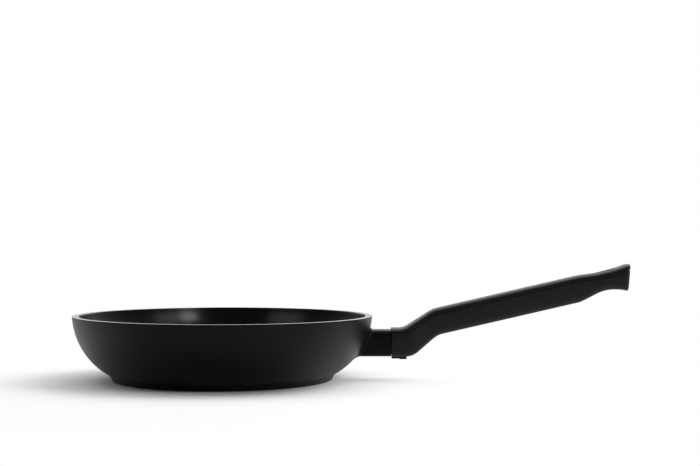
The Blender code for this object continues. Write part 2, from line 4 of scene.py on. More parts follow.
import bpy
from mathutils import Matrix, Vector


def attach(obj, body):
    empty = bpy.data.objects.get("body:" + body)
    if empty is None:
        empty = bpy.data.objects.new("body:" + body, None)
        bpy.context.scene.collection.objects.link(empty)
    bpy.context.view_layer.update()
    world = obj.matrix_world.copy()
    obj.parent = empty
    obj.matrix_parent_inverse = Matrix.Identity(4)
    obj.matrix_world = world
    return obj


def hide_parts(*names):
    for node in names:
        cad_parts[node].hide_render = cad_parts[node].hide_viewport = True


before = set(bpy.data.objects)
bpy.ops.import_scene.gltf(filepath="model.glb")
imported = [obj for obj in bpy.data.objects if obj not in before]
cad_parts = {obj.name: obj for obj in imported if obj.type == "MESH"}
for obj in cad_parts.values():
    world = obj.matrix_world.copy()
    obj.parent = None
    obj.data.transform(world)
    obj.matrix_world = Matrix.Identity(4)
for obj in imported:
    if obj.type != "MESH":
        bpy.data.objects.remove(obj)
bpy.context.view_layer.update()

# Bowl: cast aluminium, oval, with a thick wall that curves in to a low tapered foot. It is
# drawn ring by ring, from the floor over the rim to the recess under the base, as a lathe
# would turn it if it weren't oval. Sizes are in metres, insets run inwards from the rim's edge.
BOWL_WIDTH = 0.240
BOWL_LENGTH = 0.350
BOWL_HEIGHT = 0.051
RIM_FLAT = 0.0053
RIM_EDGE_RADIUS = 0.0003
WALL = 0.0045
WALL_LEAN = math.radians(4.2)     # of the upper wall, outwards
UPPER_PULL = 0.022                # how strongly the wall keeps that lean
LOWER_RISE = math.radians(27)     # of the lower wall where it meets the foot
LOWER_PULL = 0.0175
WALL_STEPS = 30
FLOOR = 0.0080
FLOOR_BLEND = 0.012
FOOT_HEIGHT = 0.0046
FOOT_TOP_INSET = 0.0298
FOOT_INSET = 0.0320
FOOT_TOP_RADIUS = 0.0012
FOOT_EDGE_RADIUS = 0.0006
PLATE_EDGE_RADIUS = 0.0002
PLATE_INSET = 0.0434
PLATE_SEAT_DEPTH = 0.0017
OVAL_POINTS = 192
SMOOTH_BELOW = math.radians(30)


def curved(start, pull_start, pull_end, end, steps):
    """Points along a cubic curve."""
    points = []
    for k in range(steps + 1):
        t = k / steps
        s = 1 - t
        points.append(s**3 * start + 3 * s * s * t * pull_start + 3 * s * t * t * pull_end + t**3 * end)
    return points


def bent_line(corners, radii, steps=10):
    """Points along straight runs with an arc of the given radius at each inner corner."""
    corners = [Vector(corner) for corner in corners]
    points = [corners[0]]
    for before, corner, after, radius in zip(corners, corners[1:], corners[2:], radii):
        arrive, leave = (corner - before).normalized(), (after - corner).normalized()
        turn = arrive.angle_signed(leave)
        reach = radius * math.tan(abs(turn) / 2)
        start, end = corner - arrive * reach, corner + leave * reach
        pull = 4 / 3 * math.tan(abs(turn) / 4) * radius
        points += curved(start, start + arrive * pull, end - leave * pull, end, steps)
    return points + [corners[-1]]


def wall_inside(wall_outside):
    """The inner wall, thinner below the rim, and its round corner into the floor."""
    points = [Vector((RIM_FLAT, BOWL_HEIGHT))]
    for above, point, below in zip(wall_outside, wall_outside[1:], wall_outside[2:]):
        along = (below - above).normalized()
        from_foot = (point.y - FOOT_HEIGHT) / (BOWL_HEIGHT - FOOT_HEIGHT)
        thickness = WALL + (RIM_FLAT - WALL) * from_foot**3
        inner = point + thickness * Vector((-along.y, along.x))
        if inner.y > FLOOR + FLOOR_BLEND / 3:
            points.append(inner)
    down = (points[-1] - points[-2]).normalized()
    corner = points[-1] + down * (points[-1].y - FLOOR) / -down.y
    floor_edge = corner + Vector((FLOOR_BLEND, 0))
    pulls = points[-1].lerp(corner, 2 / 3), floor_edge.lerp(corner, 2 / 3)
    return points + curved(points[-1], *pulls, floor_edge, 10)[1:]


rim_edge = Vector((0, BOWL_HEIGHT))
foot_top = Vector((FOOT_TOP_INSET, FOOT_HEIGHT))
upper_way = Vector((math.sin(WALL_LEAN), -math.cos(WALL_LEAN)))
lower_way = Vector((-math.cos(LOWER_RISE), math.sin(LOWER_RISE)))
wall_outside = curved(rim_edge, rim_edge + UPPER_PULL * upper_way,
                      foot_top + LOWER_PULL * lower_way, foot_top, WALL_STEPS)
inside = wall_inside(wall_outside)
rim = bent_line([inside[1], inside[0], rim_edge, wall_outside[1]], (RIM_EDGE_RADIUS, RIM_EDGE_RADIUS), 4)
foot_corners = [wall_outside[-2], foot_top, (FOOT_INSET, 0), (PLATE_INSET, 0),
                (PLATE_INSET, PLATE_SEAT_DEPTH)]
foot = bent_line(foot_corners, (FOOT_TOP_RADIUS, FOOT_EDGE_RADIUS, PLATE_EDGE_RADIUS), 4)
bowl_section = inside[:1:-1] + rim + wall_outside[2:-2] + foot


def oval_axes(inset):
    """Half width and half length of the oval at a distance inside the rim's edge."""
    return BOWL_WIDTH / 2 - inset, BOWL_LENGTH / 2 - inset


def select_edges(piece, wanted):
    """Selects, for the edit mode it leaves on, the edges whose two ends pass a test."""
    bpy.ops.object.mode_set(mode="EDIT")
    bpy.ops.mesh.select_mode(type="EDGE")
    bpy.ops.mesh.select_all(action="DESELECT")
    bpy.ops.object.mode_set(mode="OBJECT")
    spots = piece.data.vertices
    for edge in piece.data.edges:
        edge.select = wanted(spots[edge.vertices[0]], spots[edge.vertices[1]])
    bpy.ops.object.mode_set(mode="EDIT")


def draw_oval(name, rings):
    """An oval body drawn from its first (inset, height) ring to its last, closed at both ends."""
    bpy.ops.object.select_all(action="DESELECT")
    bpy.ops.mesh.primitive_circle_add(vertices=OVAL_POINTS, radius=1, enter_editmode=True)
    piece = bpy.context.object
    piece.name = piece.data.name = name
    bpy.ops.mesh.select_mode(type="EDGE")
    bpy.ops.transform.resize(value=(*oval_axes(rings[0][0]), 1))
    bpy.ops.transform.translate(value=(0, 0, rings[0][1]))
    for (inset, height), (next_inset, next_height) in zip(rings, rings[1:]):
        bpy.ops.mesh.extrude_edges_move(TRANSFORM_OT_translate={"value": (0, 0, next_height - height)})
        now, then = oval_axes(inset), oval_axes(next_inset)
        bpy.ops.transform.resize(value=(then[0] / now[0], then[1] / now[1], 1))
    bpy.ops.mesh.edge_face_add()
    select_edges(piece, lambda a, b: max(a.index, b.index) < OVAL_POINTS)
    bpy.ops.mesh.edge_face_add()
    bpy.ops.mesh.select_all(action="SELECT")
    bpy.ops.mesh.normals_make_consistent(inside=False)
    return piece


casting = draw_oval("pan_bowl", bowl_section)
bpy.ops.object.mode_set(mode="OBJECT")

# Stub and tongue: cast in one with the bowl. The stub stands on the wall with a cast fillet
# round its root, and the narrower tongue reaches from its end into the handle's collar. The
# tongue has a notch across its top for the catch.
GAP = 0.0003    # between pieces that touch on the real pan
STUB_END = 0.1349
STUB_WIDTH = 0.0300
STUB_LOW = 0.0185
STUB_TOP = 0.0397
STUB_EDGE_RADIUS = 0.0055
STUB_FILLET = 0.0035
FILLET_STEPS = 7
TONGUE_LENGTH = 0.0180
TONGUE_WIDTH = 0.0200
TONGUE_LOW = 0.0249
TONGUE_TOP = 0.0319
TONGUE_LEAD = 0.0012
NOTCH_START = 0.1367
NOTCH_END = 0.1407
NOTCH_DEPTH = 0.0013


def wall_reach(y, z):
    """How far out in x the bowl's wall stands at a height, beside the handle's middle plane."""
    for upper, lower in zip(wall_outside, wall_outside[1:]):
        if lower.y <= z <= upper.y:
            inset = upper.lerp(lower, (upper.y - z) / (upper.y - lower.y)).x
            half_width, half_length = oval_axes(inset)
            return half_width * math.sqrt(1 - (y / half_length)**2)
    return BOWL_WIDTH / 2


def draw_block(name, low, high):
    """A block between two corners, left in edit mode for shaping."""
    bpy.ops.object.select_all(action="DESELECT")
    bpy.ops.mesh.primitive_cube_add(size=1, enter_editmode=True)
    piece = bpy.context.object
    piece.name = piece.data.name = name
    bpy.ops.transform.resize(value=[b - a for a, b in zip(low, high)])
    bpy.ops.transform.translate(value=[(a + b) / 2 for a, b in zip(low, high)])
    return piece


def select_faces(piece, wanted):
    """Selects, for the edit mode it leaves on, the faces that pass a test."""
    bpy.ops.object.mode_set(mode="EDIT")
    bpy.ops.mesh.select_mode(type="FACE")
    bpy.ops.mesh.select_all(action="DESELECT")
    bpy.ops.object.mode_set(mode="OBJECT")
    for face in piece.data.polygons:
        face.select = wanted(face)
    bpy.ops.object.mode_set(mode="EDIT")


def combine(piece, other, operation):
    """Fuses or cuts two bodies, and uses up the second."""
    bpy.ops.object.select_all(action="DESELECT")
    bpy.context.view_layer.objects.active = piece
    piece.select_set(True)
    bpy.ops.object.modifier_add(type="BOOLEAN")
    modifier = piece.modifiers[-1]
    modifier.operation = operation
    modifier.object = other
    bpy.ops.object.modifier_apply(modifier=modifier.name)
    bpy.data.objects.remove(other, do_unlink=True)


root_start = wall_reach(0, STUB_TOP) + 2 * STUB_FILLET
stub = draw_block("stub", (root_start, -STUB_WIDTH / 2, STUB_LOW), (STUB_END, STUB_WIDTH / 2, STUB_TOP))
select_edges(stub, lambda a, b: abs(a.co.x - b.co.x) > GAP)
bpy.ops.mesh.bevel(offset=STUB_EDGE_RADIUS, segments=8, affect="EDGES")
select_faces(stub, lambda face: face.normal.x < -0.9)
# The root widens ring by ring to the wall's surface, and one more ring goes into the wall.
flare = 0
for k in range(FILLET_STEPS + 2):
    angle = math.radians(90) * min(k, FILLET_STEPS) / FILLET_STEPS
    from_wall = STUB_FILLET * (1 - math.sin(angle)) if k <= FILLET_STEPS else -WALL / 2
    growth = STUB_FILLET * (1 - math.cos(angle)) - flare
    width, height = STUB_WIDTH + 2 * flare, STUB_TOP - STUB_LOW + 2 * flare
    bpy.ops.mesh.extrude_region_move()
    bpy.ops.transform.resize(value=(1, 1 + 2 * growth / width, 1 + 2 * growth / height))
    flare += growth
    bpy.ops.object.mode_set(mode="OBJECT")
    for spot in stub.data.vertices:
        if spot.select:
            spot.co.x = wall_reach(spot.co.y, spot.co.z) + from_wall
    bpy.ops.object.mode_set(mode="EDIT")
bpy.ops.object.mode_set(mode="OBJECT")
combine(casting, stub, "UNION")

tongue = draw_block("tongue", (STUB_END - WALL, -TONGUE_WIDTH / 2, TONGUE_LOW),
                    (STUB_END + GAP + TONGUE_LENGTH, TONGUE_WIDTH / 2, TONGUE_TOP))
select_faces(tongue, lambda face: face.normal.x > 0.9)
bpy.ops.mesh.bevel(offset=TONGUE_LEAD, segments=3, affect="EDGES")
bpy.ops.object.mode_set(mode="OBJECT")
combine(casting, tongue, "UNION")
notch = draw_block("notch", (NOTCH_START, -TONGUE_WIDTH, TONGUE_TOP - NOTCH_DEPTH),
                   (NOTCH_END, TONGUE_WIDTH, TONGUE_TOP + NOTCH_DEPTH))
bpy.ops.object.mode_set(mode="OBJECT")
combine(casting, notch, "DIFFERENCE")

# Studs in the base: the steel plate under the pan has staggered round holes, and the cast
# aluminium is squeezed through them and turned flat with it, so every hole shows a stud.
PLATE_THICKNESS = 0.0014
HOLE_RADIUS = 0.0025
HOLE_PITCH = 0.0220
STUD_POINTS = 24
PLATE_HALF_WIDTH, PLATE_HALF_LENGTH = oval_axes(PLATE_INSET + GAP)


def hole_centres():
    """A staggered grid inside the plate, with no hole at the centre."""
    row_pitch = HOLE_PITCH * math.sqrt(3) / 2
    reach = PLATE_HALF_WIDTH - HOLE_PITCH / 2, PLATE_HALF_LENGTH - HOLE_PITCH / 2
    rows, columns = math.ceil(reach[0] / row_pitch), math.ceil(reach[1] / HOLE_PITCH)
    for i in range(-rows, rows + 1):
        for k in range(-columns, columns + 1):
            x, y = i * row_pitch, (k + i % 2 / 2) * HOLE_PITCH
            if 0 < math.hypot(x / reach[0], y / reach[1]) <= 1:
                yield x, y


def draw_studs(name, radius, low, high):
    """One round stud, modelled once and copied to every hole."""
    bpy.ops.object.select_all(action="DESELECT")
    bpy.ops.mesh.primitive_cylinder_add(vertices=STUD_POINTS, radius=radius, depth=high - low,
                                        enter_editmode=True)
    studs = bpy.context.object
    studs.name = studs.data.name = name
    bpy.ops.transform.translate(value=(0, 0, (low + high) / 2))
    centres = list(hole_centres())
    for (x, y), (last_x, last_y) in zip(centres, [(0, 0)] + centres):
        if (last_x, last_y) != (0, 0):
            bpy.ops.mesh.duplicate()
        bpy.ops.transform.translate(value=(x - last_x, y - last_y, 0))
    bpy.ops.object.mode_set(mode="OBJECT")
    return studs


base_studs = draw_studs("base_studs", HOLE_RADIUS - GAP, 0, PLATE_SEAT_DEPTH + PLATE_THICKNESS)
combine(casting, base_studs, "UNION")

# Finishes of the casting: a matt black sprayed coating outside, a smoother and glossier
# non-stick coating inside, and bare aluminium where rim and underside were turned afterwards.
# The turned faces show fine lines that run with the oval.
PATCHES_PER_METRE = 14.0    # of the slow drift in a coating's colour and gloss
COLOUR_A = 6                # sockets of a node that mixes two colours
COLOUR_B = 7
MIXED_COLOUR = 2


def linear(hex_colour):
    """An sRGB hex colour as the linear colour that a shader takes."""
    parts = [int(hex_colour[k:k + 2], 16) / 255 for k in (1, 3, 5)]
    return [*(p / 12.92 if p <= 0.04045 else ((p + 0.055) / 1.055)**2.4 for p in parts), 1]


def add_node(tree, kind, settings, links=None):
    """Adds a node, sets its inputs or properties by name, and links outputs to its inputs."""
    made = tree.nodes.new(kind)
    for name, value in settings.items():
        if isinstance(name, int) or name in made.inputs:
            made.inputs[name].default_value = value
        else:
            setattr(made, name, value)
    for name, output in (links or {}).items():
        tree.links.new(output, made.inputs[name])
    return made


def start_finish(name, **shader_values):
    """A new material with its tree, its shader and object coordinates."""
    finish = bpy.data.materials.new(name)
    finish.use_nodes = True
    shader = finish.node_tree.nodes["Principled BSDF"]
    for value_name, value in shader_values.items():
        shader.inputs[value_name.replace("_", " ")].default_value = value
    coordinates = add_node(finish.node_tree, "ShaderNodeTexCoord", {}).outputs["Object"]
    return finish, finish.node_tree, shader, coordinates


def cover_in_grain(tree, shader, coordinates, grain, depth, roughness, colours):
    """Fine raised grain, with roughness and colour that drift slowly over the surface."""
    fine = add_node(tree, "ShaderNodeTexNoise", {"Scale": 1 / grain, "Detail": 3.0},
                    {"Vector": coordinates})
    slow = add_node(tree, "ShaderNodeTexNoise", {"Scale": PATCHES_PER_METRE, "Detail": 4.0},
                    {"Vector": coordinates})
    bump = add_node(tree, "ShaderNodeBump", {"Strength": 1.0, "Distance": depth},
                    {"Height": fine.outputs["Fac"]})
    rough = add_node(tree, "ShaderNodeMapRange", {"To Min": roughness[0], "To Max": roughness[1]},
                     {"Value": slow.outputs["Fac"]})
    tint = add_node(tree, "ShaderNodeMix",
                    {"data_type": "RGBA", COLOUR_A: linear(colours[0]), COLOUR_B: linear(colours[1])},
                    {"Factor": slow.outputs["Fac"]})
    tree.links.new(bump.outputs["Normal"], shader.inputs["Normal"])
    tree.links.new(rough.outputs["Result"], shader.inputs["Roughness"])
    tree.links.new(tint.outputs[MIXED_COLOUR], shader.inputs["Base Color"])


def turn_along_oval(tree, shader, coordinates, line_spacing, depth, colours):
    """Fine turned lines that run round the oval, in height and in colour."""
    half_width, half_length = oval_axes(0)
    scaled = add_node(tree, "ShaderNodeMapping", {"Scale": (1, half_width / half_length, 0)},
                      {"Vector": coordinates})
    reach = add_node(tree, "ShaderNodeVectorMath", {"operation": "LENGTH"}, {0: scaled.outputs["Vector"]})
    lines = add_node(tree, "ShaderNodeTexNoise",
                     {"noise_dimensions": "1D", "Scale": 1 / line_spacing, "Detail": 2.0},
                     {"W": reach.outputs["Value"]})
    bump = add_node(tree, "ShaderNodeBump", {"Strength": 1.0, "Distance": depth},
                    {"Height": lines.outputs["Fac"]})
    tint = add_node(tree, "ShaderNodeMix",
                    {"data_type": "RGBA", COLOUR_A: linear(colours[0]), COLOUR_B: linear(colours[1])},
                    {"Factor": lines.outputs["Fac"]})
    tree.links.new(bump.outputs["Normal"], shader.inputs["Normal"])
    tree.links.new(tint.outputs[MIXED_COLOUR], shader.inputs["Base Color"])


# Sprayed and baked: dry to look at, with a grain like very fine paper. The real grain is
# about 0.1 mm, drawn here at 0.4 mm so that it shows.
matt_coating, tree, shader, coordinates = start_finish("sprayed_matt_black_coating", Specular_IOR_Level=0.08)
cover_in_grain(tree, shader, coordinates, grain=0.0004, depth=0.00001, roughness=(0.36, 0.42),
               colours=("#0b0e0e", "#0f1212"))

# Smooth and slightly wavy, with waves 3 mm long, so that lamps show in it as soft lights.
inner_coating, tree, shader, coordinates = start_finish("smooth_black_non_stick_coating",
                                                        Specular_IOR_Level=0.3)
cover_in_grain(tree, shader, coordinates, grain=0.0030, depth=0.00001, roughness=(0.22, 0.27),
               colours=("#111010", "#161514"))

# Turned after coating: a soft grey shine, with lines about 0.1 mm apart, drawn at 0.3 mm.
bare_aluminium, tree, shader, coordinates = start_finish("turned_aluminium", Metallic=1.0, Roughness=0.48)
turn_along_oval(tree, shader, coordinates, line_spacing=0.0003, depth=0.000005,
                colours=("#848586", "#9a9b9c"))

for finish in (matt_coating, inner_coating, bare_aluminium):
    casting.data.materials.append(finish)
MATT, GLOSSY, BARE = range(3)
for face in casting.data.polygons:
    x, y, z = face.center
    upright = face.normal.z > 0.9
    outward = face.normal.x * x + face.normal.y * y > 0
    on_rim = upright and z > BOWL_HEIGHT - RIM_EDGE_RADIUS
    on_base = z < PLATE_SEAT_DEPTH and face.normal.z < -0.5
    on_floor = upright and z < FLOOR + GAP
    in_bowl = (x < BOWL_WIDTH / 2 and z > PLATE_SEAT_DEPTH and face.normal.z > -0.5
               and (on_floor or not outward))
    face.material_index = BARE if on_rim or on_base else GLOSSY if in_bowl else MATT
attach(casting, "pan")
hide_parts("pan_casting")
bpy.ops.object.shade_smooth_by_angle(angle=SMOOTH_BELOW)

# Induction plate: a ferritic steel oval pressed flush into the underside, over the studs, and
# turned flat in one cut with them.
plate_rings = [Vector((PLATE_INSET + GAP, 0)), Vector((PLATE_INSET + GAP, PLATE_THICKNESS))]
plate = draw_oval("steel_base_plate", plate_rings)
bpy.ops.object.mode_set(mode="OBJECT")
combine(plate, draw_studs("plate_holes", HOLE_RADIUS, -PLATE_THICKNESS, 2 * PLATE_THICKNESS), "DIFFERENCE")
bpy.ops.object.shade_smooth_by_angle(angle=SMOOTH_BELOW)

# Ferritic stainless steel, turned: smoother than the aluminium, with lines drawn at 0.5 mm.
turned_steel, tree, shader, coordinates = start_finish("turned_ferritic_steel", Metallic=1.0, Roughness=0.36)
turn_along_oval(tree, shader, coordinates, line_spacing=0.0005, depth=0.00001,
                colours=("#8f9092", "#a9aaac"))
plate.data.materials.append(turned_steel)
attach(plate, "pan")
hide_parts("induction_plate")

# Handle: two black plastic mouldings, a lower body with the collar and a top cover that starts
# behind it. The collar sits on the tongue, the neck climbs to a straight grip, and the tail
# flares over a scoop for the fingers. Each shell is its cross-section drawn out from end to end.
COLLAR_FRONT = 0.1352
COLLAR_LOW = 0.0185
COLLAR_HEIGHT = 0.0226
COLLAR_WIDTH = 0.0320
COLLAR_TOP_LENGTH = 0.0099
COLLAR_LOW_LENGTH = 0.0172
COLLAR_STRAIGHT = 0.0125             # how far the collar keeps its width
COLLAR_EDGE_RADIUS = 0.0005
NECK_RUN = 0.0235
NECK_RISE = math.radians(33.1)       # of the neck's top
THROAT_RISE = math.radians(40.7)     # of its underside
NECK_WIDTH = 0.0255
GRIP_RISE = math.radians(13.1)
GRIP_DEPTH = 0.0210
GRIP_WIDTH = 0.0275
HANDLE_LENGTH = 0.1915
TAIL_LENGTH = 0.0417
TAIL_WIDTH = 0.0330
TAIL_LEAN = 0.0019                   # how far the end face leans in at its bottom
TAIL_SCOOP = 0.0057
TAIL_DIP = 0.0014
# Corners of the tail: the share of its length from the tip, and of the dip or the scoop.
TAIL_TOP_CORNERS = ((1.0, 0), (0.60, 1.1), (0.28, 0.8), (0.08, 0.1), (-0.2, 0))
TAIL_LOW_CORNERS = ((0.95, 0), (0.48, 1), (0.20, 0.50), (0, -0.08), (-0.2, -0.08))
TOP_BEND_RADII = (0.014, 0.024, 0.060, 0.040, 0.030, 0.020)
LOW_BEND_RADII = (0.016, 0.018, 0.016, 0.030, 0.012, 0.001)
LINE_LEAD = 0.01                     # the lines start this far before the collar
TOP_EDGE_DEPTH = 0.0040
TOP_EDGE_SPREAD = 1.75               # the top's round edges are this much wider than deep
LOW_EDGE_RADIUS = 0.0044
TIP_EDGE_RADIUS = 0.0010
TIP_CORNER_RADIUS = 0.0028
COVER_DEPTH = 0.0046
COVER_START = 0.0116
COVER_FRONT_GAP = 0.00006
COVER_FRONT_RADIUS = 0.0001
SEAM_RADIUS = 0.0004
LEAST_RADIUS = 0.0001
STEP_DRAFT = 0.00005
CORNER_POINTS = 9


def height_on(line, x):
    """Height of a bent line at x."""
    for start, end in zip(line, line[1:]):
        if x <= end.x or end is line[-1]:
            return start.y + (end.y - start.y) * (x - start.x) / (end.x - start.x)


def slope_on(line, x):
    """How much longer a bent line is than its level run, at x."""
    step = 0.0005
    return math.hypot(1, (height_on(line, x + step) - height_on(line, x - step)) / (2 * step))


def tail_corner(knee, share, offset):
    """A corner of the tail, by its share of the tail's length from the tip, off the grip's line."""
    x = HANDLE_LENGTH - TAIL_LENGTH * share
    return x, knee[1] + (x - knee[0]) * math.tan(GRIP_RISE) + offset


top_knee = (COLLAR_TOP_LENGTH + NECK_RUN, COLLAR_HEIGHT + NECK_RUN * math.tan(NECK_RISE))
throat_slope, grip_slope = math.tan(THROAT_RISE), math.tan(GRIP_RISE)
grip_low = top_knee[1] - GRIP_DEPTH / math.cos(GRIP_RISE) - top_knee[0] * grip_slope
low_knee_x = (grip_low + COLLAR_LOW_LENGTH * throat_slope) / (throat_slope - grip_slope)
low_knee = (low_knee_x, grip_low + low_knee_x * grip_slope)
tail_top = [tail_corner(top_knee, share, -TAIL_DIP * dip) for share, dip in TAIL_TOP_CORNERS]
tail_low = [tail_corner(low_knee, share, TAIL_SCOOP * scoop) for share, scoop in TAIL_LOW_CORNERS]
top_line = bent_line([(-LINE_LEAD, COLLAR_HEIGHT), (COLLAR_TOP_LENGTH, COLLAR_HEIGHT), top_knee] + tail_top,
                     TOP_BEND_RADII)
low_line = bent_line([(-LINE_LEAD, 0), (COLLAR_LOW_LENGTH, 0), low_knee] + tail_low, LOW_BEND_RADII)
HANDLE_WIDTHS = ((0, COLLAR_WIDTH), (COLLAR_STRAIGHT, COLLAR_WIDTH), (top_knee[0], NECK_WIDTH),
                 (HANDLE_LENGTH / 2, GRIP_WIDTH), (HANDLE_LENGTH - TAIL_LENGTH, GRIP_WIDTH),
                 (HANDLE_LENGTH, TAIL_WIDTH))


def handle_width(x):
    """The handle's width in plan, eased between its stated widths."""
    for (start, width), (end, following) in zip(HANDLE_WIDTHS, HANDLE_WIDTHS[1:]):
        if x <= end:
            part = max(0.0, (x - start) / (end - start))
            return width + (following - width) * part * part * (3 - 2 * part)
    return TAIL_WIDTH


def seam_height(x):
    """Height of the seam between the handle's two shells."""
    return height_on(top_line, x) - COVER_DEPTH * slope_on(top_line, x)


def rounded_section(half_width, low, top, low_radius, top_radius, top_spread=1.0):
    """Points (y, z) round a cross-section, from its lowest right corner, with arched upper corners."""
    low_z, top_z, top_reach = low + low_radius, top - top_radius, top_radius * top_spread
    points = []
    for side, z, depth, reach, start in ((1, low_z, low_radius, low_radius, -90),
                                         (1, top_z, top_radius, top_reach, 0),
                                         (-1, top_z, top_radius, top_reach, 90),
                                         (-1, low_z, low_radius, low_radius, 180)):
        for k in range(CORNER_POINTS):
            angle = math.radians(start + 90 * k / (CORNER_POINTS - 1))
            y = side * (half_width - reach) + reach * math.cos(angle)
            points.append((y, z + depth * math.sin(angle)))
    return points


def shell_ring(section, x, lean):
    """A cross-section in its place along the handle, leaning in at the bottom by a length."""
    top, height = height_on(top_line, x), height_on(top_line, x) - height_on(low_line, x)
    return [Vector((COLLAR_FRONT + x - lean * (top - z) / height, y, COLLAR_LOW + z)) for y, z in section]


def inset_at(radius, back):
    """How far inside the outline a round edge lies at a distance back from the end face."""
    return radius - math.sqrt(radius**2 - max(0, radius - back)**2)


def half_width_at(x, inset, lean):
    """Half the handle's width, less at its rounder corners at the tip."""
    return handle_width(x) / 2 - (inset_at(TIP_CORNER_RADIUS, HANDLE_LENGTH - x) if lean else inset)


def body_ring(x, inset=0.0, lean=0.0, drop=0.0):
    """Section of the lower body: up to the top in the collar, and up to the seam behind it."""
    if x > COVER_START:
        top = seam_height(x) - GAP / 2 - min(inset, SEAM_RADIUS)
        top_radius, top_spread = SEAM_RADIUS, 1.0
    else:
        top = height_on(top_line, x) - inset - drop
        top_radius, top_spread = TOP_EDGE_DEPTH, TOP_EDGE_SPREAD
    section = rounded_section(half_width_at(x, inset, lean), height_on(low_line, x - lean) + inset, top,
                              LOW_EDGE_RADIUS - inset, max(top_radius - inset, LEAST_RADIUS), top_spread)
    return shell_ring(section, x, lean)


def cover_ring(x, inset=0.0, lean=0.0):
    """Section of the top cover, from the seam to the top."""
    low = seam_height(x) + GAP / 2 + min(inset, SEAM_RADIUS)
    section = rounded_section(half_width_at(x, inset, lean), low, height_on(top_line, x) - inset,
                              max(SEAM_RADIUS - inset, LEAST_RADIUS), TOP_EDGE_DEPTH - inset, TOP_EDGE_SPREAD)
    return shell_ring(section, x, lean)


def quarter_round(radius, steps):
    """How far from the end face, and how far inside the outline, the rings of a round edge lie."""
    angles = [math.radians(90) * k / steps for k in range(steps + 1)]
    return [(radius * (1 - math.sin(angle)), radius * (1 - math.cos(angle))) for angle in angles]


def draw_shell(name, rings):
    """A body drawn by extruding its end face, with every new ring of corners set in its place."""
    bpy.ops.object.select_all(action="DESELECT")
    bpy.ops.mesh.primitive_circle_add(vertices=len(rings[0]), fill_type="NGON", enter_editmode=True)
    shell = bpy.context.object
    shell.name = shell.data.name = name
    bpy.ops.object.mode_set(mode="OBJECT")
    for spot, place in zip(shell.data.vertices, rings[0]):
        spot.co = place
    for ring, last_ring in zip(rings[1:], rings):
        bpy.ops.object.mode_set(mode="EDIT")
        bpy.ops.mesh.extrude_region_move()
        bpy.ops.object.mode_set(mode="OBJECT")
        for spot in shell.data.vertices:
            if spot.select:
                nearest = min(range(len(ring)), key=lambda k: (spot.co - last_ring[k]).length_squared)
                spot.co = ring[nearest]
    bpy.ops.object.mode_set(mode="EDIT")
    bpy.ops.mesh.select_all(action="SELECT")
    bpy.ops.mesh.normals_make_consistent(inside=False)
    bpy.ops.object.mode_set(mode="OBJECT")
    return shell


def places_between(start, end, step):
    """Evenly spaced places about a step apart, without the last."""
    count = max(1, round((end - start) / step))
    return [start + (end - start) * k / count for k in range(count)]


# The rings lie close together in the neck and the tail, and far apart on the straight grip.
NECK_STEP = 0.0010
GRIP_STEP = 0.012
TAIL_STEP = 0.0014
NECK_PAST_KNEE = 0.012
TAIL_BEND_LEAD = 0.006
TIP_SHARES = (1, 0.78, 0.56, 0.36, 0.2, 0.1, 0.03, 0)    # of the corner's radius, back from the tip
neck_end = low_knee[0] + NECK_PAST_KNEE
grip_end = HANDLE_LENGTH - TAIL_LENGTH - TAIL_BEND_LEAD
tail_end = HANDLE_LENGTH - TIP_CORNER_RADIUS - TAIL_LEAN - GAP
cover_front = COVER_START + COVER_FRONT_GAP
along_collar = places_between(COLLAR_EDGE_RADIUS, COVER_START - COVER_FRONT_RADIUS, NECK_STEP)
along_cover = places_between(cover_front + COVER_FRONT_RADIUS, neck_end, NECK_STEP)
along_cover += places_between(neck_end, grip_end, GRIP_STEP)
along_cover += places_between(grip_end, tail_end, TAIL_STEP) + [tail_end]
tip_edge = [(HANDLE_LENGTH - back, inset_at(TIP_EDGE_RADIUS, back))
            for back in [TIP_CORNER_RADIUS * share for share in TIP_SHARES]]
cover_edge = quarter_round(COVER_FRONT_RADIUS, 3)

body_rings = [body_ring(back, inset) for back, inset in quarter_round(COLLAR_EDGE_RADIUS, 4)[::-1]]
body_rings += [body_ring(x) for x in along_collar[1:]]
body_rings += [body_ring(COVER_START - back, drop=drop) for back, drop in cover_edge]
body_rings += [body_ring(x) for x in [COVER_START + STEP_DRAFT] + along_cover]
body_rings += [body_ring(x, inset, TAIL_LEAN) for x, inset in tip_edge]
handle = draw_shell("handle_lower_body", body_rings)

cover_rings = [cover_ring(cover_front + back, inset) for back, inset in cover_edge[::-1]]
cover_rings += [cover_ring(x) for x in along_cover[1:]]
cover_rings += [cover_ring(x, inset, TAIL_LEAN) for x, inset in tip_edge]
cover = draw_shell("handle_top_cover", cover_rings)

# Hanging slot: moulded up through both shells near the tip, long with round ends, for a hook.
# Its edges are rounded above and below.
SLOT_LENGTH = 0.0200
SLOT_WIDTH = 0.0100
SLOT_FROM_TIP = 0.0205
SLOT_EDGE_RADIUS = 0.0007
SLOT_EDGE_START = 12    # degrees into the round edge, so that it starts with a clear corner
SLOT_EDGE_STEPS = 4
SLOT_POINTS = 48


def slot_ring(line, side, depth, flare):
    """An oval with straight sides, that follows the handle's top or bottom at a depth below it."""
    ring = []
    for k in range(SLOT_POINTS):
        angle = math.radians(360 / SLOT_POINTS * (k + 0.5))
        radius = SLOT_WIDTH / 2 + flare
        half_straight = math.copysign((SLOT_LENGTH - SLOT_WIDTH) / 2, math.cos(angle))
        x = HANDLE_LENGTH - SLOT_FROM_TIP + radius * math.cos(angle) + half_straight
        z = COLLAR_LOW + height_on(line, x) - side * depth
        ring.append(Vector((COLLAR_FRONT + x, radius * math.sin(angle), z)))
    return ring


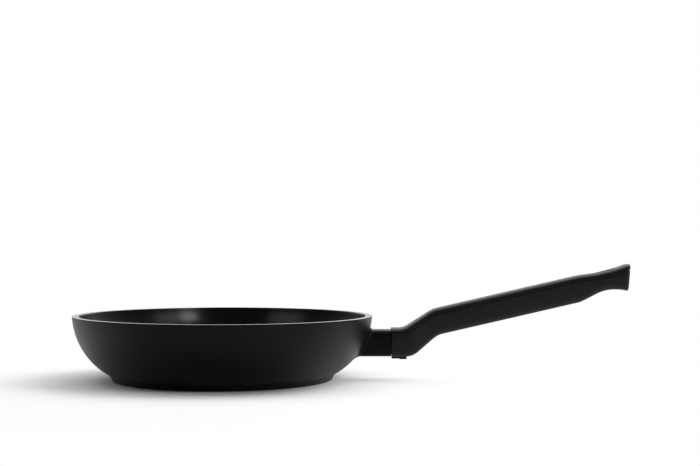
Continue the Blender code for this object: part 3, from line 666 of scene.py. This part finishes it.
slot_angles = [math.radians(SLOT_EDGE_START + (90 - SLOT_EDGE_START) * k / SLOT_EDGE_STEPS)
               for k in range(SLOT_EDGE_STEPS + 1)]
slot_edge = [(SLOT_EDGE_RADIUS * (1 - math.cos(angle)), SLOT_EDGE_RADIUS * (1 - math.sin(angle)))
             for angle in slot_angles]
slot_edge = [(-TIP_EDGE_RADIUS, slot_edge[0][1])] + slot_edge
slot_rings = [slot_ring(low_line, -1, depth, flare) for depth, flare in slot_edge]
slot_rings += [slot_ring(top_line, 1, depth, flare) for depth, flare in slot_edge[::-1]]
for shell in (handle, cover):
    combine(shell, draw_shell("slot", slot_rings), "DIFFERENCE")

# Cover screws: pan-head screws of blackened steel, driven from the grip's underside through
# deep counterbores in the body and into bosses under the cover.
SCREWS_AT = (0.066, 0.136)
BOSS_RADIUS = 0.0042
BOSS_LENGTH = 0.0062
SCREW_RADIUS = 0.0016
SCREW_SINK = 0.0060
SCREW_BITE = 0.0055
HEAD_RADIUS = 0.0032
HEAD_HEIGHT = 0.0024
HEAD_EDGE_RADIUS = 0.0008
RECESS_SPAN = 0.0034
RECESS_WIDTH = 0.0007
RECESS_DEPTH = 0.0013
ROD_POINTS = 32
boss_low = GRIP_DEPTH - COVER_DEPTH - BOSS_LENGTH
screw_tip = boss_low + SCREW_BITE
head_low = SCREW_SINK - HEAD_HEIGHT - GAP
head_top = head_low + HEAD_HEIGHT


def stand_in_grip(piece, x):
    """Turns a piece in edit mode square to the grip, with its zero height on the underside at x."""
    bpy.ops.mesh.select_all(action="SELECT")
    bpy.ops.transform.rotate(value=GRIP_RISE, orient_axis="Y", center_override=(0, 0, 0))
    bpy.ops.transform.translate(value=(COLLAR_FRONT + x, 0, COLLAR_LOW + height_on(low_line, x)))
    bpy.ops.object.mode_set(mode="OBJECT")
    return piece


def draw_rod(name, x, radius, low, high, low_edge_radius=0.0):
    """A round body square to the grip, between two heights above the grip's underside."""
    bpy.ops.object.select_all(action="DESELECT")
    bpy.ops.mesh.primitive_cylinder_add(vertices=ROD_POINTS, radius=radius, depth=high - low,
                                        enter_editmode=True)
    rod = bpy.context.object
    rod.name = rod.data.name = name
    bpy.ops.transform.translate(value=(0, 0, (low + high) / 2))
    if low_edge_radius:
        select_faces(rod, lambda face: face.normal.z < -0.9)
        bpy.ops.mesh.bevel(offset=low_edge_radius, segments=4, affect="EDGES")
    return stand_in_grip(rod, x)


screws = []
for number, x in enumerate(SCREWS_AT, start=1):
    combine(handle, draw_rod("counterbore", x, HEAD_RADIUS + GAP, -GRIP_DEPTH / 2, SCREW_SINK), "DIFFERENCE")
    combine(handle, draw_rod("shank_hole", x, SCREW_RADIUS + GAP, 0, boss_low), "DIFFERENCE")
    combine(handle, draw_rod("boss_hole", x, BOSS_RADIUS + GAP, boss_low - GAP, GRIP_DEPTH), "DIFFERENCE")
    combine(cover, draw_rod("boss", x, BOSS_RADIUS, boss_low, GRIP_DEPTH - COVER_DEPTH / 2), "UNION")
    combine(cover, draw_rod("pilot_hole", x, SCREW_RADIUS + GAP, 0, screw_tip + GAP), "DIFFERENCE")
    screw = draw_rod(f"cover_screw_with_head_{number}", x, HEAD_RADIUS, head_low, head_top, HEAD_EDGE_RADIUS)
    combine(screw, draw_rod("shank", x, SCREW_RADIUS, head_low + HEAD_HEIGHT / 2, screw_tip), "UNION")
    for span, width in ((RECESS_SPAN, RECESS_WIDTH), (RECESS_WIDTH, RECESS_SPAN)):
        arm = draw_block("recess_arm", (-span / 2, -width / 2, head_low - GAP),
                         (span / 2, width / 2, head_low + RECESS_DEPTH))
        combine(screw, stand_in_grip(arm, x), "DIFFERENCE")
    bpy.ops.object.shade_smooth_by_angle(angle=SMOOTH_BELOW)
    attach(screw, "pan")
    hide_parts(f"cover_screw_{number}")
    screws.append(screw)

# Blackened by a hot oil bath: dark grey metal with an uneven oily shine. The real grain is
# about 0.1 mm, drawn at 0.3 mm so that it shows.
blackened_steel, tree, shader, coordinates = start_finish("blackened_steel", Metallic=1.0)
cover_in_grain(tree, shader, coordinates, grain=0.0003, depth=0.000004, roughness=(0.30, 0.42),
               colours=("#3a3a3c", "#4a4a4c"))
for screw in screws:
    screw.data.materials.append(blackened_steel)

# Seats in the collar: a socket for the tongue, a pocket for the gate, a recess for the pad
# below, two bores for the springs and a seat for the face plate. All are moulded in, and each
# span is given in x, y and z from the collar's low front.
SOCKET = ((0, 0.0183), (-0.0103, 0.0103), (0.0061, 0.0137))
GATE_POCKET = ((0, 0.0055), (-0.0132, 0.0132), (0.0010, 0.0168))
PAD_RECESS = ((0, 0.0128), (-0.0113, 0.0113), (-0.0010, 0.0035))
FACE_SEAT = ((0, 0.0018), (-0.0149, 0.0149), (0.0035, 0.0215))
FACE_PLATE_CORNER = 0.0019
SPRING_AT = 0.0035
SPRING_SPREAD = 0.0050
SPRING_BORE_RADIUS = 0.0015
SPRING_BORE_TOP = 0.0189
PLASTIC_SMOOTH_BELOW = math.radians(32)


def collar_block(name, spans, ahead=0.0):
    """A block in the collar, given by its spans, that may start a little ahead of the front."""
    (x_low, x_high), (y_low, y_high), (z_low, z_high) = spans
    return draw_block(name, (COLLAR_FRONT + x_low - ahead, y_low, COLLAR_LOW + z_low),
                      (COLLAR_FRONT + x_high, y_high, COLLAR_LOW + z_high))


for name, spans in (("socket", SOCKET), ("gate_pocket", GATE_POCKET), ("pad_recess", PAD_RECESS),
                    ("face_seat", FACE_SEAT)):
    pocket = collar_block(name, spans, ahead=GAP)
    if name == "face_seat":
        select_edges(pocket, lambda a, b: abs(a.co.x - b.co.x) > GAP)
        bpy.ops.mesh.bevel(offset=FACE_PLATE_CORNER + GAP, segments=6, affect="EDGES")
    bpy.ops.object.mode_set(mode="OBJECT")
    combine(handle, pocket, "DIFFERENCE")
pocket_high = GATE_POCKET[2][1]
for side in (-1, 1):
    bpy.ops.object.select_all(action="DESELECT")
    place = (COLLAR_FRONT + SPRING_AT, side * SPRING_SPREAD, COLLAR_LOW + pocket_high)
    bpy.ops.mesh.primitive_cylinder_add(vertices=ROD_POINTS, radius=SPRING_BORE_RADIUS,
                                        depth=2 * (SPRING_BORE_TOP - pocket_high), location=place)
    combine(handle, bpy.context.object, "DIFFERENCE")

# Glass-filled plastic, moulded with a fine matt texture that scatters the light. The real
# grain is about 0.1 mm, drawn at 0.35 mm so that it shows.
black_plastic, tree, shader, coordinates = start_finish("textured_black_plastic", Specular_IOR_Level=0.25)
cover_in_grain(tree, shader, coordinates, grain=0.00035, depth=0.00001, roughness=(0.42, 0.50),
               colours=("#0e0d0c", "#121110"))
for shell, node in ((handle, "handle_body"), (cover, "handle_cover")):
    bpy.context.view_layer.objects.active = shell
    bpy.ops.object.shade_smooth_by_angle(angle=PLASTIC_SMOOTH_BELOW)
    shell.data.materials.append(black_plastic)
    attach(shell, "pan")
    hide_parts(node)

# Release catch: a moulded gate round the tongue, with a bar that two springs hold down in the
# tongue's notch, on a broad pad with a ridge for the thumb under the collar.
GATE = ((0.0018, 0.0052), (-0.0129, 0.0129), (0.0013, 0.0149))
GATE_WINDOW = ((0.0010, 0.0060), (-0.0103, 0.0103), (0.0045, 0.0124))
PAD = ((0.0003, 0.0125), (-0.0110, 0.0110), (-0.0016, 0.0016))
RIDGE = ((0.0065, 0.0122), (-0.0107, 0.0107), (-0.0021, 0))
PAD_CORNER = 0.0015
PAD_EDGE = 0.0004
catch = collar_block("press_catch", PAD)
select_edges(catch, lambda a, b: abs(a.co.z - b.co.z) > GAP)
bpy.ops.mesh.bevel(offset=PAD_CORNER, segments=5, affect="EDGES")
select_faces(catch, lambda face: face.normal.z < -0.9)
bpy.ops.mesh.bevel(offset=PAD_EDGE, segments=3, affect="EDGES")
bpy.ops.object.mode_set(mode="OBJECT")
ridge = collar_block("ridge", RIDGE)
select_edges(ridge, lambda a, b: max(a.co.z, b.co.z) < COLLAR_LOW - GAP and abs(a.co.y - b.co.y) > GAP)
bpy.ops.mesh.bevel(offset=PAD_EDGE, segments=3, affect="EDGES")
bpy.ops.object.mode_set(mode="OBJECT")
combine(catch, ridge, "UNION")
for spans, operation in ((GATE, "UNION"), (GATE_WINDOW, "DIFFERENCE")):
    gate = collar_block("gate", spans)
    bpy.ops.object.mode_set(mode="OBJECT")
    combine(catch, gate, operation)
bpy.ops.object.shade_smooth_by_angle(angle=PLASTIC_SMOOTH_BELOW)
catch.data.materials.append(black_plastic)
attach(catch, "catch")
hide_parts("release_catch")

# Springs, face plate and its screws: wound steel wire, a turned steel plate let into the
# collar's front, and two countersunk screws. They stay as the solids are, with a finish, for
# they are hidden in the collar, and the springs shorten as the catch moves.


def finish_solid(node, finish):
    """Gives a solid that stays as it is its finish."""
    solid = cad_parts[node]
    solid.data.materials.clear()
    solid.data.materials.append(finish)


# Drawn wire: bright and smooth, with a grain drawn at 0.2 mm.
spring_wire, tree, shader, coordinates = start_finish("drawn_spring_wire", Metallic=1.0)
cover_in_grain(tree, shader, coordinates, grain=0.0002, depth=0.000002, roughness=(0.25, 0.35),
               colours=("#a8a8aa", "#b8b8ba"))
for number in (1, 2):
    finish_solid(f"catch_spring_{number}", spring_wire)
    finish_solid(f"face_screw_{number}", blackened_steel)
finish_solid("face_plate", turned_steel)

# Camera: it looks level along the oval and square to the handle, from a little above the rim,
# with a long lens, so that the pan has the size and place that it has in the photograph.
CAMERA_FOCUS_PIXELS = 2045.3
PHOTO_WIDTH_PIXELS = 700
SENSOR_WIDTH = 36
CAMERA_PLACE = (0.10197, -1.6496, 0.11745)
CAMERA_ROLL = -0.002
camera = bpy.data.objects.new("camera", bpy.data.cameras.new("camera"))
camera.data.sensor_width = SENSOR_WIDTH
camera.data.lens = CAMERA_FOCUS_PIXELS * SENSOR_WIDTH / PHOTO_WIDTH_PIXELS
camera.location = CAMERA_PLACE
camera.rotation_euler = (math.radians(90), CAMERA_ROLL, 0)
bpy.context.collection.objects.link(camera)
bpy.context.scene.camera = camera
bpy.context.scene.view_settings.view_transform = "Standard"

# Floor: a plain white studio floor that runs out of sight. To the eye and in gloss it is a
# little lighter than it is lit, and plain white is painted over it far out and below the handle,
# which paints out the handle's shadow, so that only the soft shadow round the bowl is left.
FLOOR_SIZE = 40
FLOOR_HEIGHT = -0.00005
WHITE_FAR_OUT = (0.15, 0.50)         # where the fade starts and ends, from the pan's middle
WHITE_BELOW_HANDLE = (0.04, 0.20)    # the same along the handle
HANDLE_WAY = (1, 0, 0)
SEEN_LIFT = 0.25                     # how much lighter the floor is seen than it is lit
bpy.ops.object.select_all(action="DESELECT")
bpy.ops.mesh.primitive_plane_add(size=FLOOR_SIZE, location=(0, 0, FLOOR_HEIGHT))
floor = bpy.context.object
floor.name = "studio_floor"
floor_paint, tree, shader, coordinates = start_finish("white_studio_floor", Roughness=0.9)
shader.inputs["Base Color"].default_value = linear("#f2f2f2")
rays = add_node(tree, "ShaderNodeLightPath", {})
out = add_node(tree, "ShaderNodeVectorMath", {"operation": "LENGTH"}, {0: coordinates})
along = add_node(tree, "ShaderNodeVectorMath", {"operation": "DOT_PRODUCT", 1: HANDLE_WAY}, {0: coordinates})
# Painted plain white far out and along the handle, where it paints out the handle's shadow.
fades = []
for distance, (start, end) in ((out, WHITE_FAR_OUT), (along, WHITE_BELOW_HANDLE)):
    fades.append(add_node(tree, "ShaderNodeMapRange",
                          {"interpolation_type": "SMOOTHSTEP", "From Min": start, "From Max": end},
                          {"Value": distance.outputs["Value"]}))
fade = add_node(tree, "ShaderNodeMath", {"operation": "MAXIMUM"},
                {0: fades[0].outputs["Result"], 1: fades[1].outputs["Result"]})
seen = add_node(tree, "ShaderNodeMath", {"operation": "MAXIMUM"},
                {0: rays.outputs["Is Camera Ray"], 1: rays.outputs["Is Glossy Ray"]})
seen_fade = add_node(tree, "ShaderNodeMath", {"operation": "MULTIPLY"},
                     {0: seen.outputs["Value"], 1: fade.outputs["Value"]})
seen_more = add_node(tree, "ShaderNodeMath", {"operation": "MULTIPLY", 1: SEEN_LIFT},
                     {0: seen.outputs["Value"]})
more = add_node(tree, "ShaderNodeBsdfDiffuse", {}, {"Color": seen_more.outputs["Value"]})
lit = add_node(tree, "ShaderNodeAddShader", {}, {0: shader.outputs["BSDF"], 1: more.outputs["BSDF"]})
white = add_node(tree, "ShaderNodeEmission", {"Strength": 1.0})
floor_mix = add_node(tree, "ShaderNodeMixShader", {},
                     {0: seen_fade.outputs["Value"], 1: lit.outputs["Shader"], 2: white.outputs["Emission"]})
tree.links.new(floor_mix.outputs["Shader"], tree.nodes["Material Output"].inputs["Surface"])
floor.data.materials.append(floor_paint)

# Surround: a white backdrop in a darker room. It is plain white to the eye, and to gloss where
# it hangs behind the pan. The light it gives comes from behind and above, and fades to the
# sides and to the front.
BRIGHTEST_WAY = (0, 0.70, 0.72)
SIDE_FADE = (0.4, 0, 0)
SURROUND_LOW = 0.08
SURROUND_HIGH = 0.85
STRAIGHT_BACK = (0, 1, 0)
BACKDROP_OUTER = 0.75    # cosine of the angle off straight back where the backdrop ends
BACKDROP_INNER = 0.90
world = bpy.data.worlds.new("white_backdrop_dark_room")
bpy.context.scene.world = world
world.use_nodes = True
tree = world.node_tree
rays = add_node(tree, "ShaderNodeLightPath", {})
direction = add_node(tree, "ShaderNodeTexCoord", {}).outputs["Generated"]
height = add_node(tree, "ShaderNodeVectorMath", {"operation": "DOT_PRODUCT", 1: BRIGHTEST_WAY},
                  {0: direction})
aside = add_node(tree, "ShaderNodeVectorMath", {"operation": "ABSOLUTE"}, {0: direction})
turned_away = add_node(tree, "ShaderNodeVectorMath", {"operation": "DOT_PRODUCT", 1: SIDE_FADE},
                       {0: aside.outputs["Vector"]})
facing = add_node(tree, "ShaderNodeMath", {"operation": "SUBTRACT"},
                  {0: height.outputs["Value"], 1: turned_away.outputs["Value"]})
surround = add_node(tree, "ShaderNodeMapRange",
                    {"interpolation_type": "SMOOTHSTEP", "To Min": SURROUND_LOW, "To Max": SURROUND_HIGH},
                    {"Value": facing.outputs["Value"]})
behind = add_node(tree, "ShaderNodeVectorMath", {"operation": "DOT_PRODUCT", 1: STRAIGHT_BACK},
                  {0: direction})
backdrop = add_node(tree, "ShaderNodeMapRange",
                    {"interpolation_type": "SMOOTHSTEP",
                     "From Min": BACKDROP_OUTER, "From Max": BACKDROP_INNER},
                    {"Value": behind.outputs["Value"]})
mirrored = add_node(tree, "ShaderNodeMath", {"operation": "MULTIPLY"},
                    {0: rays.outputs["Is Glossy Ray"], 1: backdrop.outputs["Result"]})
seen = add_node(tree, "ShaderNodeMath", {"operation": "MAXIMUM"},
                {0: rays.outputs["Is Camera Ray"], 1: mirrored.outputs["Value"]})
strength = add_node(tree, "ShaderNodeMath", {"operation": "MAXIMUM"},
                    {0: seen.outputs["Value"], 1: surround.outputs["Result"]})
tree.links.new(strength.outputs["Value"], tree.nodes["Background"].inputs["Strength"])
tree.nodes["Background"].inputs["Color"].default_value = (1, 1, 1, 1)

# Lamps: a large softbox behind the pan and one at each side give the floor its light, and low
# strips at both sides draw the soft highlights on the wall, in the bowl and on the handle.


def add_softbox(name, azimuth, elevation, distance, size, power, colour="#ffffff"):
    """A rectangular lamp, turned to the pan, at an azimuth to the right of the camera's side."""
    lamp = bpy.data.objects.new(name, bpy.data.lights.new(name, "AREA"))
    lamp.data.shape = "RECTANGLE"
    lamp.data.size, lamp.data.size_y = size
    lamp.data.energy = power
    lamp.data.color = linear(colour)[:3]
    turn, lift = math.radians(azimuth), math.radians(elevation)
    out = Vector((math.sin(turn) * math.cos(lift), -math.cos(turn) * math.cos(lift), math.sin(lift)))
    lamp.location = out * distance
    lamp.rotation_euler = out.to_track_quat("Z", "Y").to_euler()
    bpy.context.collection.objects.link(lamp)


add_softbox("back_softbox", azimuth=172, elevation=42, distance=1.8, size=(2.6, 1.8), power=13)
add_softbox("right_softbox", azimuth=125, elevation=48, distance=1.6, size=(1.4, 1.0), power=8)
add_softbox("left_softbox", azimuth=-112, elevation=45, distance=1.6, size=(1.2, 1.0), power=3)
add_softbox("key_strip", azimuth=59, elevation=18, distance=1.6, size=(0.44, 0.50), power=5.2)
add_softbox("right_strip", azimuth=82, elevation=18, distance=1.6, size=(0.7, 0.50), power=1.5)
add_softbox("left_strip", azimuth=-73, elevation=20, distance=1.6, size=(1.1, 0.6), power=2.1,
            colour="#fff8f0")
